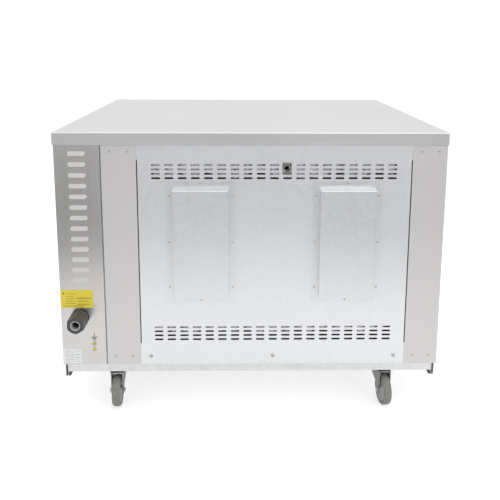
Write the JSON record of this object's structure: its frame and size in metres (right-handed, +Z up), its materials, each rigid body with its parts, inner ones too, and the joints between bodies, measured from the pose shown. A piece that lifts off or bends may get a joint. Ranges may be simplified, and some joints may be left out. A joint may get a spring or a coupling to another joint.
{
  "type": "mobile convection oven",
  "caption": "Low stainless steel electric twin-fan oven cabinet on casters, with glazed side-hinged doors, a louvred control bay, and a ventilated back with fan motor covers.",
  "frame": {"origin": "on the floor under the middle of the overall box", "axes": "+Z up, -Y towards the doors, +Y towards the service side at the back, +X towards the control bay"},
  "size_m": [1.2, 1.186, 0.905],
  "materials": {
    "stainless": "satin brushed",
    "galvanised": "zinc-coated sheet, satin",
    "chassis_zinc": "zinc-coated, dull",
    "rail_zinc": "zinc-coated, dull grey",
    "insulation": "compressed mineral wool",
    "enamel": "vitreous enamel",
    "wire": "bright wire",
    "lamp_glass": "clear",
    "element": "oxidised sheath",
    "motor": "cast, ribbed",
    "aluminium": "satin",
    "gasket": "matt",
    "door_glass": "tinted",
    "black_plastic": "matt",
    "grey_plastic": "matt, moulded",
    "seal_rubber": "matt",
    "switch_plastic": "matt",
    "brass": "plain",
    "label_stock": "matt film",
    "zinc": "bright zinc",
    "caster_zinc": "zinc-plated pressing",
    "tyre_grey": "grey elastomer",
    "pedal": "powder coat",
    "lens": "clear moulding"
  },
  "bodies": {
    "cabinet": {"base_pan": "galvanised", "bay_partition": "galvanised", "caster_plates": "caster_zinc", "cavity_lamps": "lamp_glass", "cavity_liner": "enamel", "chassis_frame": "chassis_zinc", "control_fascia": "stainless", "door_gaskets": "gasket", "earth_stud": "brass", "fan_baffle": "stainless", "fan_motors": "motor", "front_frame": "stainless", "gland_body": "grey_plastic", "gland_nut": "grey_plastic", "gland_seal": "seal_rubber", "heating_elements": "element", "hinge_brackets": "zinc", "indicator_lamps": "lens", "insulation_jacket": "insulation", "labels": "label_stock", "louvre_panel": "stainless", "motor_cover_left": "galvanised", "motor_cover_right": "galvanised", "rear_bulkhead": "galvanised", "rear_panel": "galvanised", "rear_post_left": "stainless", "rear_post_right": "stainless", "rear_screws": "zinc", "side_panel_left": "stainless", "side_panel_right": "stainless", "side_racks": "wire", "side_rails": "rail_zinc", "switchgear": "switch_plastic", "top_lid": "stainless", "vent_pipe": "stainless", "wire_shelves": "wire"},
    "door_left": {"door_skin_left": "stainless", "door_liner_left": "stainless", "door_glass_left": "door_glass", "door_handle_left": "stainless"},
    "fan_left": {"fan_wheel_left": "aluminium"},
    "door_right": {"door_skin_right": "stainless", "door_liner_right": "stainless", "door_glass_right": "door_glass", "door_handle_right": "stainless"},
    "fan_right": {"fan_wheel_right": "aluminium"},
    "temperature_control": {"temperature_knob": "black_plastic"},
    "timer_control": {"timer_knob": "black_plastic"},
    "main_switch": {"power_switch": "black_plastic"},
    "light_button": {"lamp_button": "switch_plastic"},
    "swivel_back_right": {"caster_fork_back_right": "caster_zinc"},
    "wheel_back_right": {"caster_wheel_back_right": "tyre_grey"},
    "swivel_back_left": {"caster_fork_back_left": "caster_zinc"},
    "wheel_back_left": {"caster_wheel_back_left": "tyre_grey"},
    "swivel_front_right": {"caster_fork_front_right": "caster_zinc"},
    "wheel_front_right": {"caster_wheel_front_right": "tyre_grey"},
    "brake_front_right": {"brake_pedal_front_right": "pedal"},
    "swivel_front_left": {"caster_fork_front_left": "caster_zinc"},
    "wheel_front_left": {"caster_wheel_front_left": "tyre_grey"},
    "brake_front_left": {"brake_pedal_front_left": "pedal"}
  },
  "joints": [
    {"name": "door_left_hinge", "type": "hinge", "parent": "cabinet", "child": "door_left", "pos_m": [-0.584, -0.522, 0.516], "axis": [0, 0, -1], "range_deg": [0, 110]},
    {"name": "door_right_hinge", "type": "hinge", "parent": "cabinet", "child": "door_right", "pos_m": [0.443, -0.522, 0.516], "axis": [0, 0, 1], "range_deg": [0, 110]},
    {"name": "fan_left_spin", "type": "hinge", "parent": "cabinet", "child": "fan_left", "pos_m": [-0.2955, 0.2, 0.517], "axis": [0, 1, 0], "continuous": true},
    {"name": "fan_right_spin", "type": "hinge", "parent": "cabinet", "child": "fan_right", "pos_m": [0.1545, 0.2, 0.517], "axis": [0, 1, 0], "continuous": true},
    {"name": "temperature_turn", "type": "hinge", "parent": "cabinet", "child": "temperature_control", "pos_m": [0.5285, -0.53, 0.69], "axis": [0, 1, 0], "range_deg": [0, 300]},
    {"name": "timer_turn", "type": "hinge", "parent": "cabinet", "child": "timer_control", "pos_m": [0.5285, -0.53, 0.58], "axis": [0, 1, 0], "range_deg": [0, 300]},
    {"name": "main_switch_turn", "type": "hinge", "parent": "cabinet", "child": "main_switch", "pos_m": [0.5285, -0.53, 0.48], "axis": [0, 1, 0], "range_deg": [0, 90]},
    {"name": "light_button_press", "type": "slide", "parent": "cabinet", "child": "light_button", "axis": [0, 1, 0], "range_m": [0, 0.004], "stiffness_N_per_m": 300, "springref_m": -0.003},
    {"name": "swivel_back_right", "type": "hinge", "parent": "cabinet", "child": "swivel_back_right", "pos_m": [0.434, 0.461, 0.115], "axis": [0, 0, 1], "continuous": true},
    {"name": "roll_back_right", "type": "hinge", "parent": "swivel_back_right", "child": "wheel_back_right", "pos_m": [0.43278, 0.49598, 0.05], "axis": [0.9994, 0.0349, 0], "continuous": true},
    {"name": "swivel_back_left", "type": "hinge", "parent": "cabinet", "child": "swivel_back_left", "pos_m": [-0.434, 0.461, 0.115], "axis": [0, 0, 1], "continuous": true},
    {"name": "roll_back_left", "type": "hinge", "parent": "swivel_back_left", "child": "wheel_back_left", "pos_m": [-0.43796, 0.49578, 0.05], "axis": [0.9936, 0.1132, 0], "continuous": true},
    {"name": "swivel_front_right", "type": "hinge", "parent": "cabinet", "child": "swivel_front_right", "pos_m": [0.434, -0.461, 0.115], "axis": [0, 0, 1], "continuous": true},
    {"name": "roll_front_right", "type": "hinge", "parent": "swivel_front_right", "child": "wheel_front_right", "pos_m": [0.42913, -0.49566, 0.05], "axis": [-0.9903, 0.1392, 0], "continuous": true},
    {"name": "brake_front_right_press", "type": "hinge", "parent": "swivel_front_right", "child": "brake_front_right", "pos_m": [0.42634, -0.51546, 0.11], "axis": [0.9903, -0.1392, 0], "range_deg": [0, 20]},
    {"name": "swivel_front_left", "type": "hinge", "parent": "cabinet", "child": "swivel_front_left", "pos_m": [-0.434, -0.461, 0.115], "axis": [0, 0, 1], "continuous": true},
    {"name": "roll_front_left", "type": "hinge", "parent": "swivel_front_left", "child": "wheel_front_left", "pos_m": [-0.42913, -0.49566, 0.05], "axis": [-0.9903, -0.1392, 0], "continuous": true},
    {"name": "brake_front_left_press", "type": "hinge", "parent": "swivel_front_left", "child": "brake_front_left", "pos_m": [-0.42634, -0.51546, 0.11], "axis": [0.9903, 0.1392, 0], "range_deg": [0, 20]}
  ]
}
